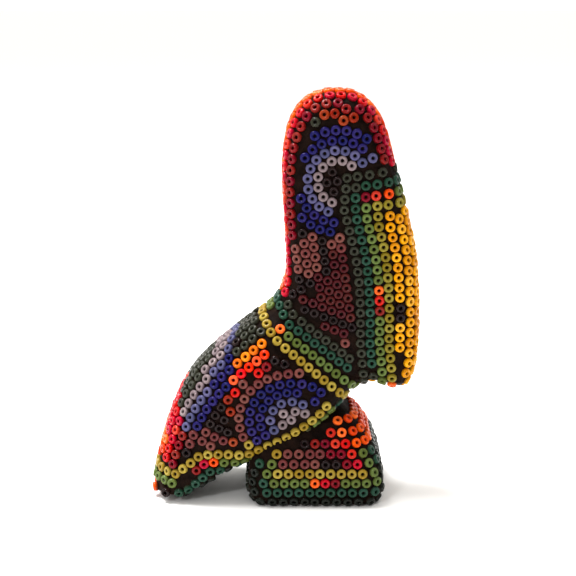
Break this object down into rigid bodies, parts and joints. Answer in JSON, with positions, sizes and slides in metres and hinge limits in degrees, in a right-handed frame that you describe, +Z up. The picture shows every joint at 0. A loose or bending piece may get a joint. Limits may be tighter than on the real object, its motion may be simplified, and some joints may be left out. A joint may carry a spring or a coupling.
{
  "type": "beaded figure",
  "caption": "Carved wooden pelican in profile on a rounded base, covered with rows of coloured glass seed beads pressed into beeswax.",
  "frame": {"origin": "centre of the base's flat underside", "axes": "+Z up, +X the way the bird faces, +Y to the bird's left"},
  "size_m": [0.0643, 0.0288, 0.0975],
  "materials": {
    "carved_wood": "matte",
    "beeswax": "satin",
    "glass_orange": "gloss",
    "glass_red": "gloss",
    "glass_garnet": "gloss",
    "glass_olive": "gloss",
    "glass_blue": "gloss",
    "glass_lavender": "gloss",
    "glass_white": "gloss",
    "glass_black": "gloss",
    "glass_teal": "gloss",
    "glass_green": "gloss",
    "glass_lime": "gloss",
    "glass_golden_yellow": "gloss",
    "glass_rose": "gloss",
    "glass_burgundy": "gloss",
    "glass_pale_yellow": "gloss",
    "glass_amber": "gloss",
    "glass_flame": "gloss",
    "glass_dark_green": "gloss",
    "glass_rust": "gloss"
  },
  "bodies": {
    "root": {"wood_core": "carved_wood", "wax_skin": "beeswax", "crest_orange_beads": "glass_orange", "crest_red_beads": "glass_red", "crest_garnet_beads": "glass_garnet", "head_olive_beads": "glass_olive", "head_blue_beads": "glass_blue", "eye_lavender_beads": "glass_lavender", "eye_white_beads": "glass_white", "eye_black_beads": "glass_black", "bill_olive_beads": "glass_olive", "bill_teal_beads": "glass_teal", "bill_green_beads": "glass_green", "bill_lime_beads": "glass_lime", "bill_yellow_beads": "glass_golden_yellow", "bill_black_beads": "glass_black", "neck_rose_beads": "glass_rose", "neck_garnet_beads": "glass_burgundy", "neck_black_beads": "glass_black", "collar_olive_beads": "glass_olive", "collar_teal_beads": "glass_teal", "collar_green_beads": "glass_green", "collar_yellow_beads": "glass_pale_yellow", "back_olive_beads": "glass_olive", "wing_white_beads": "glass_white", "wing_lavender_beads": "glass_lavender", "wing_blue_beads": "glass_blue", "wing_orange_beads": "glass_amber", "wing_flame_beads": "glass_flame", "wing_red_beads": "glass_red", "wing_garnet_beads": "glass_garnet", "wing_rose_beads": "glass_rose", "wing_black_beads": "glass_black", "flower_white_beads": "glass_white", "flower_lavender_beads": "glass_lavender", "flower_blue_beads": "glass_blue", "flower_rose_beads": "glass_rose", "tail_orange_beads": "glass_orange", "tail_red_beads": "glass_red", "tail_garnet_beads": "glass_garnet", "edge_yellow_beads": "glass_pale_yellow", "edge_green_beads": "glass_green", "edge_teal_beads": "glass_teal", "edge_dark_beads": "glass_dark_green", "base_yellow_beads": "glass_pale_yellow", "base_green_beads": "glass_green", "base_teal_beads": "glass_teal", "base_dark_beads": "glass_dark_green", "base_rose_beads": "glass_rose", "base_black_beads": "glass_black", "base_garnet_beads": "glass_garnet", "base_red_beads": "glass_red", "base_orange_beads": "glass_orange", "accent_orange_beads": "glass_orange", "accent_red_beads": "glass_red", "accent_garnet_beads": "glass_garnet", "accent_rust_beads": "glass_rust"}
  },
  "joints": []
}
